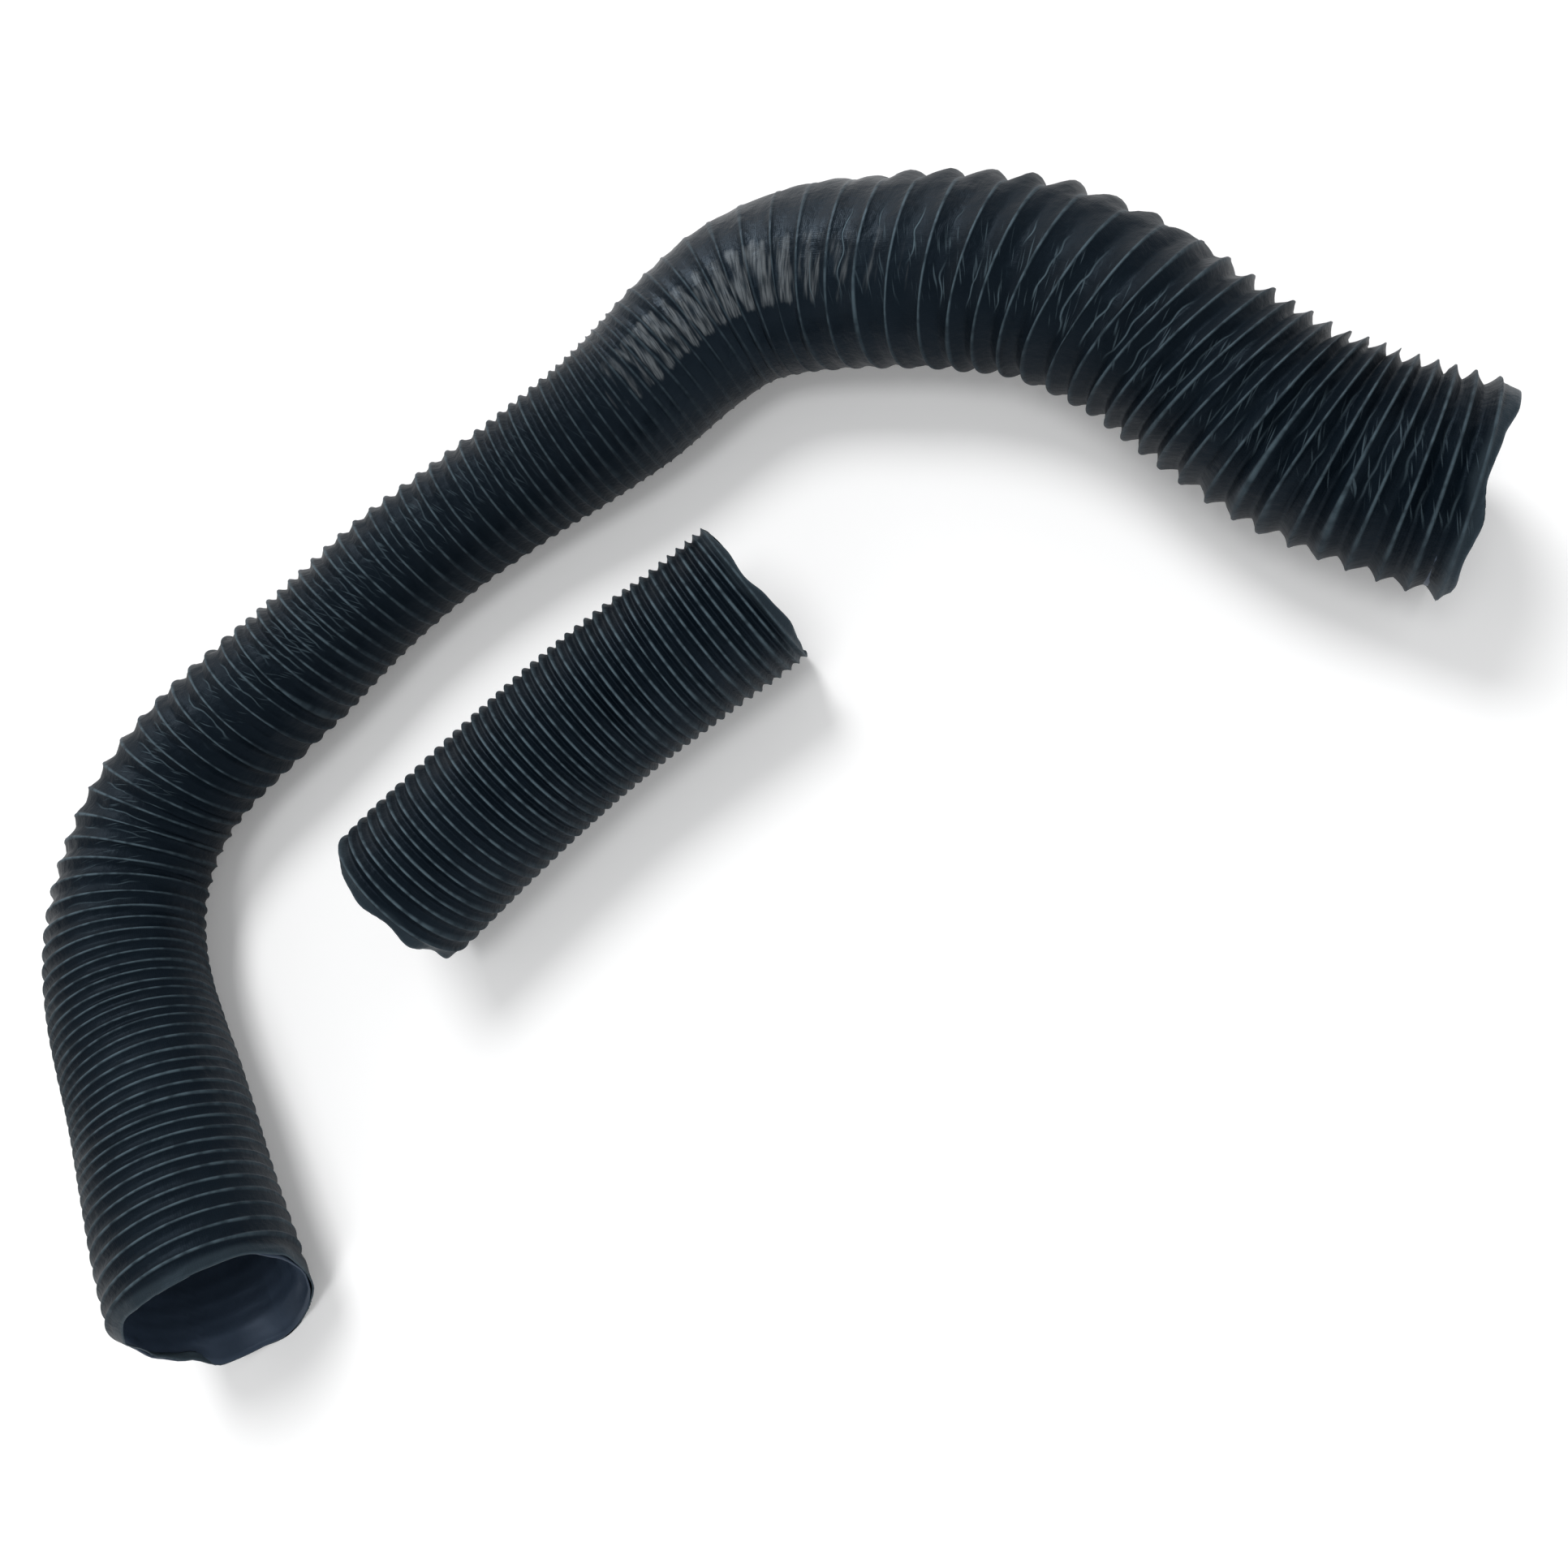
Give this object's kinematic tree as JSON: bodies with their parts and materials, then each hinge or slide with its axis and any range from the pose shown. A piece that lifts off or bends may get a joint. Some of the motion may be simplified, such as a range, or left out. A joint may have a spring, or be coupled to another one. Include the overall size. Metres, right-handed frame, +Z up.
{
  "type": "flexible duct hose",
  "caption": "Wire-reinforced flexible duct hose of black coated cloth, laid in two bends, with a short matching length beside it; both ends of each are open bores",
  "frame": {"origin": "on the floor under the middle of the part's bounding box", "axes": "+X along the long hose's middle leg, from the near mouth's side to the far mouth's side; +Y from the mouths toward the bends; +Z up"},
  "size_m": [0.6642, 0.3893, 0.0716],
  "materials": {
    "coated_cloth": "near-black coated woven cloth, satin, with paler bands along the rib crests",
    "inner_ply": "dark blue-black coated cloth, smooth and semi-gloss",
    "spring_wire": "drawn spring-steel wire, bright"
  },
  "bodies": {
    "middle_leg": {"long_middle_cover": "coated_cloth", "long_middle_wire": "spring_wire", "long_middle_liner": "inner_ply"},
    "near_leg": {"long_near_cover": "coated_cloth", "long_near_wire": "spring_wire", "long_near_liner": "inner_ply", "long_bend_1_cover": "coated_cloth", "long_bend_1_wire": "spring_wire", "long_bend_1_liner": "inner_ply"},
    "far_leg": {"long_far_cover": "coated_cloth", "long_far_wire": "spring_wire", "long_far_liner": "inner_ply", "long_bend_2_cover": "coated_cloth", "long_bend_2_wire": "spring_wire", "long_bend_2_liner": "inner_ply"},
    "short_near_half": {"short_near_cover": "coated_cloth", "short_near_wire": "spring_wire", "short_near_liner": "inner_ply", "short_draw_cover": "coated_cloth", "short_draw_wire": "spring_wire", "short_draw_liner": "inner_ply"},
    "short_far_half": {"short_far_cover": "coated_cloth", "short_far_wire": "spring_wire", "short_far_liner": "inner_ply"}
  },
  "joints": [
    {"name": "near_bend", "type": "hinge", "parent": "middle_leg", "child": "near_leg", "pos_m": [-0.23295, 0.10828, 0.03553], "axis": [0, 0, 1], "range_deg": [-25, 25], "deforming": ["long_bend_1_cover", "long_bend_1_wire", "long_bend_1_liner"]},
    {"name": "far_bend", "type": "hinge", "parent": "middle_leg", "child": "far_leg", "pos_m": [0.21463, 0.08287, 0.03553], "axis": [0, 0, 1], "range_deg": [-20, 25], "deforming": ["long_bend_2_cover", "long_bend_2_wire", "long_bend_2_liner"]},
    {"name": "short_lift", "type": "slide", "parent": "middle_leg", "child": "short_near_half", "axis": [0, 0, 1], "range_m": [0, 0.2]},
    {"name": "short_draw", "type": "slide", "parent": "short_near_half", "child": "short_far_half", "axis": [1, 0, 0], "range_m": [-0.03, 0.1], "deforming": ["short_draw_cover", "short_draw_wire", "short_draw_liner"]}
  ]
}
